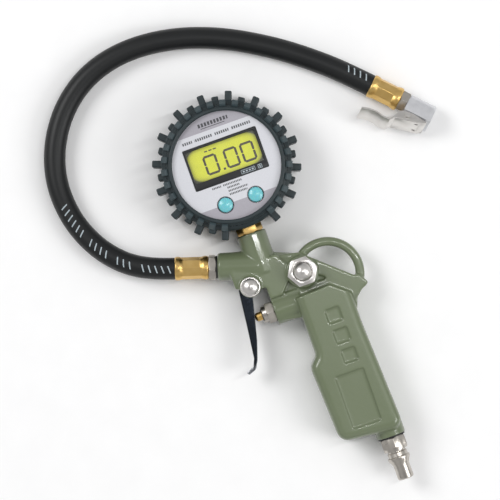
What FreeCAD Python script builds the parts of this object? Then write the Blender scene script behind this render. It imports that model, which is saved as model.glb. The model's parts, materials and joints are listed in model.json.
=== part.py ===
"""Tyre inflator: blow-gun casting, digital gauge in a rubber boot, short hose, clip-on chuck.

The tool lies on its side on a bench. Shapes are drawn about the hub, where the gauge
port, the hose outlet and the bleed valve meet, and heights are counted from the bench.
"""
import FreeCAD, Part
import math
import os

V = FreeCAD.Vector
UP = V(0, 0, 1)
ALONG_X = V(1, 0, 0)
ALONG_Y = V(0, 1, 0)

# ---- driving dimensions, millimetres ----
HUB = V(-4.21, 19.99, 0)        # where the hub stands; the origin is under the middle of the gun and gauge
MID = 12.5                      # height of the gun's mid-plane
HANDLE_THICK = 25.0
WEB_HALF = 6.0                  # half thickness of the thin plate of the head
PLATE_HALF = 8.0                # half thickness of the thick part of the head

BARREL_FACE = V(-25.1, 7.9, MID)
BARREL_TOWARDS = V(-36.4, 11.6, 0)
BARREL_R = 8.0
PORT_R = 8.75                   # gauge port tube
PORT_TOP = 20.0
THREAD_R = 4.86                 # 1/8 inch pipe thread
PASSAGE_R = 2.2

VALVE_Y = -27.2                 # axis of the air valve, along X
CHAMBER_R = 5.1
PLUNGER_R = 2.6
PIVOT = V(-11.0, -9.2, 0)
PIVOT_R = 2.5
RUNNING = 0.06                  # radial clearance of a turning or sliding fit
TRIGGER_HALF = 4.2
SLOT_HALF = 4.5

BLEED = V(20.3, -10.8, 0)
BLEED_TOP = 22.0                # face of the round boss
LOOP = V(34.0, -17.0, 0)
LOOP_OUTER = 21.3
LOOP_INNER = 16.1
INLET_X = 37.1

GAUGE = V(-0.3, 61.3, 0)
CASE_R = 34.8
CASE_WALL = 2.0
CASE_BACK = 2.6
CASE_SPLIT = 22.0
FACE_TOP = 30.6
WINDOW_R = 31.3
BOOT_R = 37.5
BOOT_TOP = 33.5
TOOTH_STEP = 11.25
TOOTH_TURN = 91.8
TOOTH_WIDE = 4.0
TOOTH_LONG = 43.0
TOOTH_SHORT = 40.2
LCD_LOW = V(-22.0, 52.5, 0)
LCD_HIGH = V(22.7, 77.2, 0)
WINDOW_LOW = V(-20.6, 56.8, 0)
WINDOW_HIGH = V(20.9, 75.5, 0)
BUTTONS = {"button_left": V(-8.5, 40.0, 0), "button_right": V(9.8, 40.0, 0)}
BUTTON_R = 4.2
SCREW_RING = 29.7
SCREW_ANGLES = (45, 135, 225, 315)
BAY = (-26.0, 48.6, 25.4, 74.0)  # battery bay walls: low x, low y, high x, high y
BAY_WALL = 1.2
BOARD_LOW = 22.2
BOARD_THICK = 1.6
SENSOR_R = 6.0
LEAD_HALF = 0.3
CELL_HEIGHT = 10.4

HOSE_R = 6.35
HOSE_BORE_R = 3.3
CRIMPED_R = 5.55                # hose squeezed under a ferrule
GUN_MOUTH = 24.7                # from the barrel's face to the mouth of its ferrule
CHUCK_START = V(94.5, 77.75, 7.3)
CHUCK_HEADING = -46.06
CHUCK_ROLL = -30.0
HOSE_POINTS = [
    V(-77.0, 29.2, 11.0),
    V(-89.6, 45.3, 8.6),
    V(-96.8, 65.5, 6.9),
    V(-97.4, 87.5, 6.4),
    V(-90.5, 108.5, 6.4),
    V(-76.8, 127.0, 6.4),
    V(-57.6, 139.9, 6.4),
    V(-33.5, 145.3, 6.4),
    V(-6.5, 143.0, 6.4),
    V(21.0, 133.8, 6.4),
    V(47.5, 118.6, 6.4),
    V(66.5, 104.3, 6.7),
]


# ---- shape helpers ----
def unit(vector):
    return V(vector).normalize()


def at(point, height):
    return V(point.x, point.y, height)


def cylinder(base, axis, radius, length):
    return Part.makeCylinder(radius, length, base, axis)


def box(low, high):
    size = high - low
    return Part.makeBox(size.x, size.y, size.z, low)


def turned(profile, base, axis):
    """A lathe part: profile is a closed list of (distance along the axis, radius)."""
    points = [V(radius, 0, along) for along, radius in profile]
    face = Part.Face(Part.makePolygon(points + points[:1]))
    solid = face.revolve(V(0, 0, 0), UP, 360)
    solid.Placement = FreeCAD.Placement(base, FreeCAD.Rotation(UP, axis))
    return solid


def tube(base, axis, outer, inner, length):
    return turned([(0, inner), (0, outer), (length, outer), (length, inner)], base, axis)


def dome(base, axis, radius, height):
    """A spherical cap standing on a flat base."""
    ball = (radius ** 2 + height ** 2) / (2 * height)
    lowest = math.degrees(math.asin((ball - height) / ball))
    return Part.makeSphere(ball, base - unit(axis) * (ball - height), axis, lowest, 90, 360)


def hexagon(base, axis, across_flats, length, turn=0):
    corner = across_flats / math.sqrt(3)
    points = []
    for side in range(7):
        angle = math.radians(turn + 60 * side)
        points.append(V(corner * math.cos(angle), corner * math.sin(angle), 0))
    solid = Part.Face(Part.makePolygon(points)).extrude(UP * length)
    solid.Placement = FreeCAD.Placement(base, FreeCAD.Rotation(UP, axis))
    return solid


def chamfered_hexagon(base, axis, across_flats, length, turn=0):
    """A hexagon whose corners are turned off at both ends, as on a nut."""
    corner = across_flats / math.sqrt(3)
    flat = across_flats / 2
    lip = (corner - flat) * 0.6
    limit = turned([(0, 0), (0, flat), (lip, corner), (length - lip, corner), (length, flat), (length, 0)],
                   base, axis)
    return hexagon(base, axis, across_flats, length, turn).common(limit)


def outline(points, radii, height):
    """A closed wire whose straight sides are joined by tangent corner arcs."""
    count = len(points)
    if not isinstance(radii, list):
        radii = [radii] * count
    corners = []
    for i, (x, y) in enumerate(points):
        here = V(x, y, height)
        before = unit(V(*points[i - 1], height) - here)
        after = unit(V(*points[(i + 1) % count], height) - here)
        half = before.getAngle(after) / 2
        reach = radii[i] / math.tan(half)
        inwards = unit(before + after)
        middle = here + inwards * (radii[i] / math.sin(half) - radii[i])
        corners.append((here + before * reach, middle, here + after * reach))
    edges = []
    for i, (start, middle, end) in enumerate(corners):
        if radii[i]:
            edges.append(Part.Arc(start, middle, end).toShape())
        following = corners[(i + 1) % count][0]
        edges.append(Part.LineSegment(end, following).toShape())
    return Part.Wire(edges)


def slab(points, radii, low, high, edge=0):
    """A plate with rounded corners, and rounded rims when edge is given."""
    solid = Part.Face(outline(points, radii, low)).extrude(UP * (high - low))
    if edge:
        rims = [e for e in solid.Edges if e.BoundBox.ZLength < 1e-6]
        solid = solid.makeFillet(edge, rims)
    return solid


def rectangle(low, high, radius, bottom, top):
    points = [(low.x, low.y), (high.x, low.y), (high.x, high.y), (low.x, high.y)]
    return slab(points, radius, bottom, top)


def coil_spring(base, axis, radius, wire, length, turns):
    helix = Part.makeHelix(length / turns, length, radius)
    section = Part.Wire([Part.makeCircle(wire / 2, V(radius, 0, 0), ALONG_Y)])
    solid = helix.makePipeShell([section], True, True)
    solid.Placement = FreeCAD.Placement(base, FreeCAD.Rotation(UP, axis))
    return solid


def ring(base, axis, radius, section_r):
    return Part.makeTorus(radius, section_r, base, axis)


def joined(shapes):
    """One solid from pieces that overlap, added one at a time."""
    whole = shapes[0]
    for shape in shapes[1:]:
        whole = whole.fuse(shape)
    return whole


def save(node, *solids):
    """Write one node, moved so that the part's origin is at the box's bottom centre."""
    shape = Part.makeCompound([s for solid in solids for s in solid.Solids])
    for solid in shape.Solids:
        if not solid.isValid() or solid.Volume <= 0:
            print("CHECK", node, "valid", solid.isValid(), "volume", round(solid.Volume, 2))
    shape.translate(HUB)
    shape.exportStep("parts/" + node + ".step")
    print(node, len(shape.Solids), "solid(s),", round(shape.Volume), "mm3")


# ---- the gun's casting ----
OUT = unit(BARREL_TOWARDS)      # direction of the outlet barrel
HUB_MID = V(0, 0.1, MID)


def handle():
    """The grip, thicker than the head, with well rounded long edges."""
    grip = [(11.3, -10), (11.5, -59.6), (6.0, -64.6), (8.2, -111.2), (45.9, -115.4), (44.3, -80), (43.0, -50),
            (43.0, -10)]
    grip = slab(grip, [2, 5, 7, 6.5, 6.5, 60, 60, 2], 0, HANDLE_THICK, 4.5)
    panel = [(10.3, -24.2), (32.5, -23.2), (42.0, -31.0), (60, -46), (60, -130), (-10, -130), (-10, -45),
             (10.3, -36)]
    grip = grip.common(slab(panel, 1.5, -1, HANDLE_THICK + 1))
    inlet = cylinder(V(INLET_X, -118, MID), ALONG_Y, 8.6, 12)
    return joined([grip, inlet])


def pockets():
    """Shallow hollows in both faces of the grip: three short ones over a long one."""
    places = [(24.6, -44.8, 33.2, -36.3), (25.0, -57.2, 33.6, -48.8), (25.6, -69.3, 34.0, -61.2),
              (17.6, -106.4, 34.8, -74.6)]
    cuts = []
    for x0, y0, x1, y1 in places:
        for low, high in ((HANDLE_THICK - 1.0, HANDLE_THICK + 1), (-1, 1.0)):
            cuts.append(rectangle(V(x0, y0, 0), V(x1, y1, 0), 1.2, low, high))
    return cuts


def loop_and_spur():
    """The ring that the tool hangs by, and the spur under it that stops the hand."""
    hoop = cylinder(at(LOOP, MID - 4.5), UP, LOOP_OUTER, 9)
    hoop = hoop.cut(cylinder(at(LOOP, 0), UP, LOOP_INNER, 30))
    rims = [e for e in hoop.Edges if e.BoundBox.ZLength < 1e-6]
    hoop = hoop.makeFillet(2.2, rims)
    spur = [(40, -24), (50.5, -22.5), (54.6, -29.6), (49.5, -32.0), (45.4, -35.6), (43.4, -41.5), (38, -41.5)]
    return [hoop, slab(spur, [0, 2, 1.4, 4, 3, 1, 0], MID - WEB_HALF, MID + WEB_HALF, 0)]


def head():
    """The body between the ports: a thin web, a thicker plate and a sunk triangle beside the bleed boss."""
    web = [(-2.5, 2), (-2.5, -33), (12, -36), (44, -36), (50, -29), (51, -25.6), (27.0, -4.1), (21.8, 0.4), (9, 3)]
    plate = [(-2.5, 3), (-2.5, -19.6), (5.0, -19.6), (12.5, -11.2), (15, -6), (9, 4)]
    sunk = [(5.4, -19.3), (12.5, -11.4), (28.5, -15.6), (33.2, -19.3)]
    body = joined([
        slab(web, 0, MID - WEB_HALF, MID + WEB_HALF),
        slab(plate, 0, MID - PLATE_HALF, MID + PLATE_HALF),
    ])
    for low, high in ((MID + WEB_HALF - 1.3, 30), (-5, MID - WEB_HALF + 1.3)):
        body = body.cut(slab(sunk, 0.8, low, high))
    boss = cylinder(at(BLEED, 4.0), UP, 9.4, BLEED_TOP - 4.0)
    shoulder = Part.makeCone(8.3, 6.2, 24, HUB_MID, OUT * -1)
    valve = cylinder(V(-2.5, VALVE_Y, MID), ALONG_X, 8.25, 17)
    return [body, boss, shoulder, valve]


def ports():
    """The hose outlet barrel and the gauge port tube."""
    length = (BARREL_FACE - HUB_MID).Length
    barrel = Part.makeCone(8.9, BARREL_R, length, HUB_MID, OUT)
    chamfer = turned([(length - 1, BARREL_R + 2), (length - 1, BARREL_R), (length, BARREL_R - 0.8),
                      (length + 1, BARREL_R - 0.8), (length + 1, BARREL_R + 2)], HUB_MID, OUT)
    port = cylinder(V(GAUGE.x, -4, MID), ALONG_Y, PORT_R, PORT_TOP + 4)
    return [barrel.cut(chamfer), port]


def trigger_fork():
    """Two lugs with round pads that carry the trigger's pivot."""
    lug = [(-19.5, 3), (-19.5, -7.5), (-16.0, -9.4), (-11, -12.5), (-5.8, -12.5), (-2.4, -12.3), (-2.4, 3)]
    return [
        slab(lug, 0, MID - PLATE_HALF, MID + PLATE_HALF),
        cylinder(at(PIVOT, 3.0), UP, 6.2, 19.0),
    ]


def air_passages():
    """Everything that is drilled: threads as plain bores, passages, valve chamber."""
    to_bleed = at(BLEED, MID) - HUB_MID
    return [
        cylinder(BARREL_FACE + OUT, OUT * -1, THREAD_R, 11),
        cylinder(BARREL_FACE, OUT * -1, PASSAGE_R, (BARREL_FACE - HUB_MID).Length),
        cylinder(V(GAUGE.x, PORT_TOP + 1, MID), ALONG_Y * -1, THREAD_R, 13),
        cylinder(V(GAUGE.x, PORT_TOP, MID), ALONG_Y * -1, 6.2, 1.4),
        cylinder(V(GAUGE.x, PORT_TOP, MID), ALONG_Y * -1, PASSAGE_R, PORT_TOP),
        cylinder(HUB_MID, to_bleed, PASSAGE_R, to_bleed.Length),
        cylinder(at(BLEED, 7.5), UP, 5.0, 20),
        cylinder(V(-4, VALVE_Y, MID), ALONG_X, CHAMBER_R, 28),
        cylinder(V(20, VALVE_Y, MID), ALONG_X, PASSAGE_R, INLET_X - 20),
        cylinder(V(5, VALVE_Y, MID), ALONG_Y, 2.0, -VALVE_Y - 1),
        cylinder(V(INLET_X, -112, MID), ALONG_Y, 3.0, 112 + VALVE_Y + 3.4),
        cylinder(V(INLET_X, -119, MID), ALONG_Y, 6.5, 12),
        cylinder(at(PIVOT, -1), UP, PIVOT_R, 30),
        box(V(-23, -24, MID - SLOT_HALF), V(-4.6, -2.8, MID + SLOT_HALF)),
    ]


def body_casting():
    solid = joined([handle()] + head() + loop_and_spur() + ports() + trigger_fork())
    for cut in pockets() + air_passages():
        solid = solid.cut(cut)
    save("body_casting", solid)


# ---- trigger and its pivot ----
def trigger():
    side = [(-9.0, -4.3), (-13.5, -4.3), (-17.0, -6.6), (-18.2, -9.5), (-20.5, -30), (-22.9, -49), (-24.8, -53.4),
            (-30.0, -55.8), (-28.4, -57.1), (-23.9, -55.4), (-21.2, -50.5), (-17.7, -40), (-14.7, -28),
            (-11.5, -15), (-6.4, -11.4), (-6.4, -6.6)]
    rounds = [1.5, 1.5, 1.5, 2, 10, 4, 2, 0.6, 0.6, 3, 4, 10, 10, 2, 1.5, 1.5]
    lever = slab(side, rounds, MID - TRIGGER_HALF, MID + TRIGGER_HALF)
    channel = [(-16.4, -13), (-18.7, -30), (-20.6, -46), (-5, -46), (-5, -13)]
    lever = lever.cut(slab(channel, [1, 0, 1, 0, 0], MID - 2.9, MID + 2.9))
    lever = lever.cut(cylinder(at(PIVOT, 0), UP, PIVOT_R + RUNNING, 30))
    save("trigger", lever)


def trigger_pivot():
    head_base = at(PIVOT, 22.0)
    washer = tube(head_base, UP, 5.9, PIVOT_R, 0.8)
    crown = at(PIVOT, 22.8)
    screw = joined([cylinder(at(PIVOT, 0.7), UP, PIVOT_R, 23.1), cylinder(crown, UP, 5.0, 1.0),
                    dome(at(PIVOT, 23.8), UP, 5.0, 2.4)])
    nut = chamfered_hexagon(at(PIVOT, 0.5), UP, 8.0, 2.5).cut(cylinder(at(PIVOT, 0), UP, PIVOT_R, 5))
    save("trigger_pivot_screw", screw)
    save("trigger_pivot_washer", washer)
    save("trigger_pivot_nut", nut)


# ---- air valve behind the trigger ----
def air_valve():
    def on_axis(x):
        return V(x, VALVE_Y, MID)

    bore = cylinder(on_axis(-12), ALONG_X, PLUNGER_R + RUNNING, 20)
    gland = joined([
        chamfered_hexagon(on_axis(-7.3), ALONG_X, 11.8, 4.8),
        turned([(0, 0), (0, 4.0), (0.7, 4.75), (3.1, 4.75), (3.1, 0)], on_axis(-10.2), ALONG_X),
        cylinder(on_axis(-2.5), ALONG_X, CHAMBER_R, 5.5),
    ])
    gland = gland.cut(bore).cut(cylinder(on_axis(0.6), ALONG_X, 4.5, 5))
    save("valve_gland_nut", gland)
    save("valve_gland_seal", ring(on_axis(1.6), ALONG_X, 3.58, 0.9))
    plunger = joined([
        turned([(0, 0), (0, 1.7), (0.8, PLUNGER_R), (17.2, PLUNGER_R), (17.2, 1.3), (26.2, 1.3), (26.2, 0)],
               on_axis(-14.0), ALONG_X),
        dome(on_axis(-14.0), ALONG_X * -1, 1.7, 0.5),
    ])
    save("valve_plunger", plunger)
    save("valve_seat", tube(on_axis(7), ALONG_X, CHAMBER_R, PASSAGE_R, 5))
    save("valve_poppet_seal", tube(on_axis(12.25), ALONG_X, 4.2, 1.0, 1.4))
    poppet = [(0, 0), (0, 0.95), (1.4, 0.95), (1.4, 4.3), (3.0, 4.3), (3.0, 1.5), (6.2, 1.5), (6.2, 0)]
    save("valve_poppet", turned(poppet, on_axis(12.25), ALONG_X))
    save("valve_spring", coil_spring(on_axis(15.7), ALONG_X, 2.6, 0.8, 7.8, 5))


# ---- bleed valve on the round boss ----
def bleed_valve():
    gasket = tube(at(BLEED, BLEED_TOP), UP, 8.0, 5.0, 0.7)
    bottom = BLEED_TOP + 0.7
    bush = joined([
        chamfered_hexagon(at(BLEED, bottom), UP, 15.8, 4.6),
        cylinder(at(BLEED, 12), UP, 5.0, bottom - 12),
    ])
    bush = bush.cut(cylinder(at(BLEED, 25.2), UP, 5.5, 5))
    bush = bush.cut(cylinder(at(BLEED, 17), UP, 3.6, 12))
    bush = bush.cut(cylinder(at(BLEED, 10), UP, 1.6 + RUNNING, 12))
    save("bleed_gasket", gasket)
    save("bleed_bush", bush)
    button = joined([
        cylinder(at(BLEED, 26.9), UP, 5.2, 2.0),
        dome(at(BLEED, 28.9), UP, 5.2, 3.2),
        cylinder(at(BLEED, 9.6), UP, 1.6, 18),
    ])
    save("bleed_button", button)
    save("bleed_valve_seal", tube(at(BLEED, 11.0), UP, 3.6, 1.6, 0.95))
    save("bleed_stem_ring", tube(at(BLEED, 9.6), UP, 3.2, 1.6, 1.4))
    save("bleed_spring", coil_spring(at(BLEED, 17.45), UP, 2.6, 0.8, 9.0, 5))


# ---- coupler plug at the foot of the grip ----
def inlet_plug():
    foot = V(INLET_X, -118, MID)
    down = ALONG_Y * -1
    save("inlet_seal", tube(foot, down, 8.0, 6.5, 0.8))
    profile = [(-10, 2.4), (-10, 6.0), (-9.5, 6.5), (0.8, 6.5), (0.8, 7.1), (8.6, 7.1), (8.6, 5.3), (9.8, 5.3),
               (10.2, 5.8), (12.4, 5.8), (12.8, 6.6), (13.8, 6.6), (17.6, 4.75), (25.6, 4.75), (26.3, 4.0),
               (26.3, 2.4)]
    plug = turned(profile, foot, down)
    nut = chamfered_hexagon(V(INLET_X, -118.8, MID), down, 14.0, 6.4, 30)
    plug = plug.fuse(nut.cut(cylinder(foot, down, 6, 12)))
    save("inlet_plug", plug.removeSplitter())


# ---- gauge ----
def gauge_stem():
    foot = V(GAUGE.x, PORT_TOP, MID)
    stem = joined([
        cylinder(V(GAUGE.x, 9, MID), ALONG_Y, THREAD_R, 11.5),
        chamfered_hexagon(foot, ALONG_Y, 13.3, 5.0),
        cylinder(V(GAUGE.x, 25, MID), ALONG_Y, 6.0, 9.5),
    ])
    save("gauge_stem", stem.cut(cylinder(V(GAUGE.x, 0, MID), ALONG_Y, 1.5, 60)))
    save("gauge_stem_seal", ring(V(GAUGE.x, PORT_TOP - 0.7, MID), ALONG_Y, 5.53, 0.66))


def gauge_boot():
    """A rubber guard: a ring with a rolled lip, and stub teeth all round except at the stem."""
    profile = [(0, 25.0), (0, 35.8), (1.7, BOOT_R), (28.6, BOOT_R), (BOOT_TOP, 33.6), (BOOT_TOP, WINDOW_R),
               (31.25, WINDOW_R), (31.25, CASE_R + 0.1), (2.5, CASE_R + 0.1), (2.5, 25.0)]
    guard = turned(profile, GAUGE, UP)
    teeth = []
    for k in range(32):
        angle = TOOTH_TURN + TOOTH_STEP * k
        if abs(angle % 360 - 270) < 15:
            continue
        tip = TOOTH_SHORT if k % 2 else TOOTH_LONG
        tooth = slab([(35.6, -TOOTH_WIDE / 2), (tip, -TOOTH_WIDE / 2), (tip, TOOTH_WIDE / 2),
                      (35.6, TOOTH_WIDE / 2)], [0, 0.8, 0.8, 0], 4.0, 27.5)
        tooth.rotate(V(0, 0, 0), UP, angle)
        tooth.translate(GAUGE)
        teeth.append(tooth)
    guard = joined([guard] + teeth)
    guard = guard.cut(cylinder(V(GAUGE.x, 15, MID), ALONG_Y, 8.2, 16))
    save("gauge_boot", guard)


def screw_places():
    places = []
    for angle in SCREW_ANGLES:
        turn = math.radians(angle)
        places.append(GAUGE + V(math.cos(turn), math.sin(turn), 0) * SCREW_RING)
    return places


def gauge_case():
    """Rear tub with the stem socket, the battery bay and four screw posts."""
    inner = CASE_R - CASE_WALL
    floor = CASE_BACK + 2.2
    tub = turned([(CASE_BACK, 0), (CASE_BACK, CASE_R), (CASE_SPLIT, CASE_R), (CASE_SPLIT, inner), (floor, inner),
                  (floor, 0)], GAUGE, UP)
    socket = cylinder(V(GAUGE.x, 27.5, MID), ALONG_Y, 8.6, 6.5)
    x0, y0, x1, y1 = BAY
    bay = box(V(x0, y0, floor), V(x1, y1, BOARD_LOW))
    bay = bay.cut(box(V(x0 + BAY_WALL, y0 + BAY_WALL, 0), V(x1 - BAY_WALL, y1 - BAY_WALL, 40)))
    posts = [cylinder(at(place, floor), UP, 2.6, CASE_SPLIT - floor) for place in screw_places()]
    tub = joined([tub, socket, bay] + posts)
    tub = tub.cut(box(V(x0 + 2, y0 + 2, 0), V(x1 - 2, y1 - 2, floor + 1)))
    tub = tub.cut(cylinder(V(GAUGE.x, 20, MID), ALONG_Y, 6.0, 20))
    for place in screw_places():
        tub = tub.cut(cylinder(at(place, 0), UP, 2.45, 5.0)).cut(cylinder(at(place, 0), UP, 1.3, 30))
    save("gauge_case", tub)
    cover = box(V(x0 + 2.15, y0 + 2.15, CASE_BACK), V(x1 - 2.15, y1 - 2.15, floor))
    grip = [box(V(-6, y0 + 5 + 2 * k, CASE_BACK - 1), V(6, y0 + 6 + 2 * k, CASE_BACK + 0.5)) for k in range(4)]
    for cut in grip:
        cover = cover.cut(cut)
    save("battery_cover", cover)


def gauge_bezel():
    inner = CASE_R - CASE_WALL
    under = FACE_TOP - 1.8
    shell = turned([(CASE_SPLIT, CASE_R), (31.1, CASE_R), (31.1, 31.5), (FACE_TOP, 31.5), (FACE_TOP, 0), (under, 0),
                    (under, inner), (CASE_SPLIT, inner)], GAUGE, UP)
    posts = [cylinder(at(place, CASE_SPLIT), UP, 2.6, under - CASE_SPLIT + 0.5) for place in screw_places()]
    shell = joined([shell] + posts)
    for place in screw_places():
        shell = shell.cut(cylinder(at(place, 20), UP, 1.2, 7.5))
    label = cylinder(at(GAUGE, FACE_TOP), UP, 31.4, 0.35)
    opening = rectangle(LCD_LOW, LCD_HIGH, 0.8, 20, 40)
    holes = [cylinder(at(place, 20), UP, BUTTON_R + 0.35, 20) for place in BUTTONS.values()]
    for cut in [opening] + holes:
        shell = shell.cut(cut)
        label = label.cut(cut)
    save("gauge_bezel", shell)
    save("gauge_label", label)
    screws = []
    for place in screw_places():
        screws.append(joined([cylinder(at(place, 3.1), UP, 2.35, 1.8), cylinder(at(place, 4.9), UP, 1.2, 21.5)]))
    save("case_screws", *screws)


def display():
    gap = V(0.15, 0.15, 0)
    frame = rectangle(LCD_LOW + gap, LCD_HIGH - gap, 0.7, 29.4, 31.3)
    frame = frame.cut(rectangle(WINDOW_LOW, WINDOW_HIGH, 1.5, 20, 40))
    save("lcd_frame", frame)
    save("lcd_window", rectangle(WINDOW_LOW + gap * 0.5, WINDOW_HIGH - gap * 0.5, 1.4, 30.1, 30.9))
    save("lcd_panel", box(V(-21.7, 55.0, 27.2), V(22.3, 76.9, 29.4)))
    strips = [box(V(-18, y, BOARD_LOW + BOARD_THICK), V(18.6, y + 2, 27.2)) for y in (55.6, 74.2)]
    save("lcd_connector_strips", *strips)


def electronics():
    top = BOARD_LOW + BOARD_THICK
    save("circuit_board", cylinder(at(GAUGE, BOARD_LOW), UP, 26.8, BOARD_THICK))
    chips = [
        box(V(-6, 61, top), V(5, 72, top + 1.6)),
        box(V(9, 62, top), V(13, 65, top + 1.0)),
        box(V(-14, 66, top), V(-11, 70, top + 1.2)),
        cylinder(V(-13, 50, top), UP, 2.2, 2.6),
    ]
    save("board_components", *chips)
    switches = []
    for place in BUTTONS.values():
        body = box(at(place, top) - V(2.6, 2.6, 0), at(place, top + 2.0) + V(2.6, 2.6, 0))
        switches.append(joined([body, cylinder(at(place, top + 1.5), UP, 1.6, 0.9)]))
    save("button_switches", *switches)
    sensor = joined([cylinder(V(GAUGE.x, 34.5, MID), ALONG_Y, SENSOR_R, 8),
                     cylinder(V(GAUGE.x, 42, MID), ALONG_Y, 4.2, 4)])
    save("pressure_sensor", sensor)
    leads = []
    for place in (-3, -1, 1, 3):
        inner_side = abs(place) - LEAD_HALF
        foot = MID + math.sqrt(SENSOR_R ** 2 - inner_side ** 2) + 0.01
        leads.append(box(V(GAUGE.x + place - LEAD_HALF, 38, foot), V(GAUGE.x + place + LEAD_HALF, 38.5, BOARD_LOW)))
    save("sensor_leads", *leads)


def batteries():
    """Two slim cells, each between a flat spring plate and one with a pressed bump."""
    cells = []
    contacts = []
    for y in (55.6, 67.0):
        cell = cylinder(V(-22.3, y, CELL_HEIGHT), ALONG_X, 5.2, 43.5)
        cells.append(joined([cell, cylinder(V(21.0, y, CELL_HEIGHT), ALONG_X, 1.9, 1.0)]))
        contacts.append(box(V(22.2, y - 4, 5.4), V(22.6, y + 4, 21)))
        plate = box(V(-24.4, y - 4, 5.4), V(-24.0, y + 4, 21))
        bump = Part.makeCone(3.0, 1.5, 1.6, V(-24.0, y, CELL_HEIGHT), ALONG_X)
        contacts.append(joined([plate, bump]))
    save("batteries", *cells)
    save("battery_contacts", *contacts)


def buttons():
    for name, place in BUTTONS.items():
        cap = joined([
            cylinder(at(place, 27.1), UP, 1.5, 1),
            cylinder(at(place, 27.6), UP, 5.6, 0.9),
            cylinder(at(place, 28.2), UP, BUTTON_R, 3.4),
            dome(at(place, 31.6), UP, BUTTON_R, 1.2),
        ])
        save(name, cap)


# ---- hose and its fittings ----
def ferrule(base, axis, length, end_r, waist_r, bead):
    """A brass sleeve squeezed onto the hose, with a bead left at both ends."""
    profile = [(0, CRIMPED_R), (0, end_r - 0.4), (0.4, end_r), (bead, end_r), (bead + 1.2, waist_r),
               (length - bead - 1.2, waist_r), (length - bead, end_r), (length - 0.4, end_r),
               (length, end_r - 0.4), (length, CRIMPED_R)]
    return turned(profile, base, axis)


def gun_fitting():
    face = BARREL_FACE
    save("barrel_seal", tube(face, OUT, 6.6, THREAD_R, 1.0))
    nipple = joined([
        cylinder(face - OUT * 9, OUT, THREAD_R, 10.5),
        chamfered_hexagon(face + OUT, OUT, 13.2, 4.2, 90),
        turned([(5.2, 0), (5.2, 3.0), (12, 3.0), (12, 3.25), (15, 2.9), (15, 3.25), (18, 2.9), (18, 3.25),
                (22, 2.7), (22, 0)], face, OUT),
    ])
    save("hose_nipple_gun", nipple.cut(cylinder(face - OUT * 10, OUT, 1.9, 40)))
    save("ferrule_gun", ferrule(face + OUT * 5.3, OUT, GUN_MOUTH - 5.3, 6.85, 6.15, 3.0))


HEADING = math.radians(CHUCK_HEADING)
CHUCK_AXIS = V(math.cos(HEADING), math.sin(HEADING), 0)


def hose_route():
    mouth = BARREL_FACE + OUT * GUN_MOUTH
    return [mouth, mouth + OUT * 13.5] + HOSE_POINTS + [CHUCK_START - CHUCK_AXIS * 18, CHUCK_START]


def smooth_path(points):
    """Straight runs joined by tangent arcs, each as large as its two runs allow."""
    edges = []
    radii = []
    start = points[0]
    for i in range(1, len(points) - 1):
        back = points[i - 1] - points[i]
        on = points[i + 1] - points[i]
        reach = 0.45 * min(back.Length, on.Length)
        back = unit(back)
        on = unit(on)
        half = back.getAngle(on) / 2
        radius = reach * math.tan(half)
        radii.append(radius)
        middle = points[i] + unit(back + on) * (radius / math.sin(half) - radius)
        edges.append(Part.LineSegment(start, points[i] + back * reach).toShape())
        edges.append(Part.Arc(points[i] + back * reach, middle, points[i] + on * reach).toShape())
        start = points[i] + on * reach
    edges.append(Part.LineSegment(start, points[-1]).toShape())
    return Part.Wire(edges), radii


def swept(path, radius):
    start = path.Edges[0].Vertexes[0].Point
    towards = path.Edges[0].Vertexes[1].Point - start
    section = Part.Wire([Part.makeCircle(radius, start, towards)])
    return path.makePipeShell([section], True, True)


def hose():
    points = hose_route()
    path, radii = smooth_path(points)
    print("hose bend radii", [round(r, 1) for r in radii])
    print("hose runs", [round((b - a).Length, 1) for a, b in zip(points, points[1:])])
    outside = swept(path, HOSE_R)
    section = math.pi * HOSE_R ** 2
    print("hose path", round(path.Length, 1), "mm, volume over section x length",
          round(outside.Volume / (section * path.Length), 4))
    rubber = joined([
        outside,
        cylinder(points[0], OUT * -1, CRIMPED_R, 17.5),
        cylinder(points[-1], CHUCK_AXIS, CRIMPED_R, 16.5),
    ])
    rubber = rubber.cut(swept(path, HOSE_BORE_R))
    rubber = rubber.cut(cylinder(points[0], OUT * -1, HOSE_BORE_R, 18))
    rubber = rubber.cut(cylinder(points[-1], CHUCK_AXIS, HOSE_BORE_R, 17))
    save("hose", rubber)


# ---- clip-on chuck, drawn along X from the hose's end and then laid in place ----
CHUCK_PIN = V(26.6, -11.0, 0)
CHUCK_BORE_R = 4.1              # takes an 8 mm tyre valve
CHUCK_END = 40.2


def laid(shape):
    """Turn the chuck about its own axis, point it, and put it at the hose's end."""
    shape.rotate(V(0, 0, 0), ALONG_X, CHUCK_ROLL)
    shape.rotate(V(0, 0, 0), UP, CHUCK_HEADING)
    shape.translate(CHUCK_START)
    return shape


def strip(path, thick):
    """The two sides of a bent sheet, as one closed list of points."""
    left = []
    right = []
    for i, (x, y) in enumerate(path):
        before = path[max(i - 1, 0)]
        after = path[min(i + 1, len(path) - 1)]
        along = unit(V(after[0] - before[0], after[1] - before[1], 0))
        left.append((x - along.y * thick / 2, y + along.x * thick / 2))
        right.append((x + along.y * thick / 2, y - along.x * thick / 2))
    return left + right[::-1]


def chuck_fitting():
    nipple = joined([
        turned([(2, 0), (2, 2.7), (6, 3.25), (6, 2.9), (10, 3.25), (10, 3.0), (18.8, 3.0), (18.8, 0)],
               V(0, 0, 0), ALONG_X),
        chamfered_hexagon(V(18.8, 0, 0), ALONG_X, 11.4, 4.7, 30),
        cylinder(V(23.5, 0, 0), ALONG_X, 4.6, 3.4),
    ])
    save("hose_nipple_chuck", laid(nipple.cut(cylinder(V(0, 0, 0), ALONG_X, 1.7, 40))))
    save("ferrule_chuck", laid(ferrule(V(0.05, 0, 0), ALONG_X, 18.7, 6.95, 6.3, 2.6)))


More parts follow.
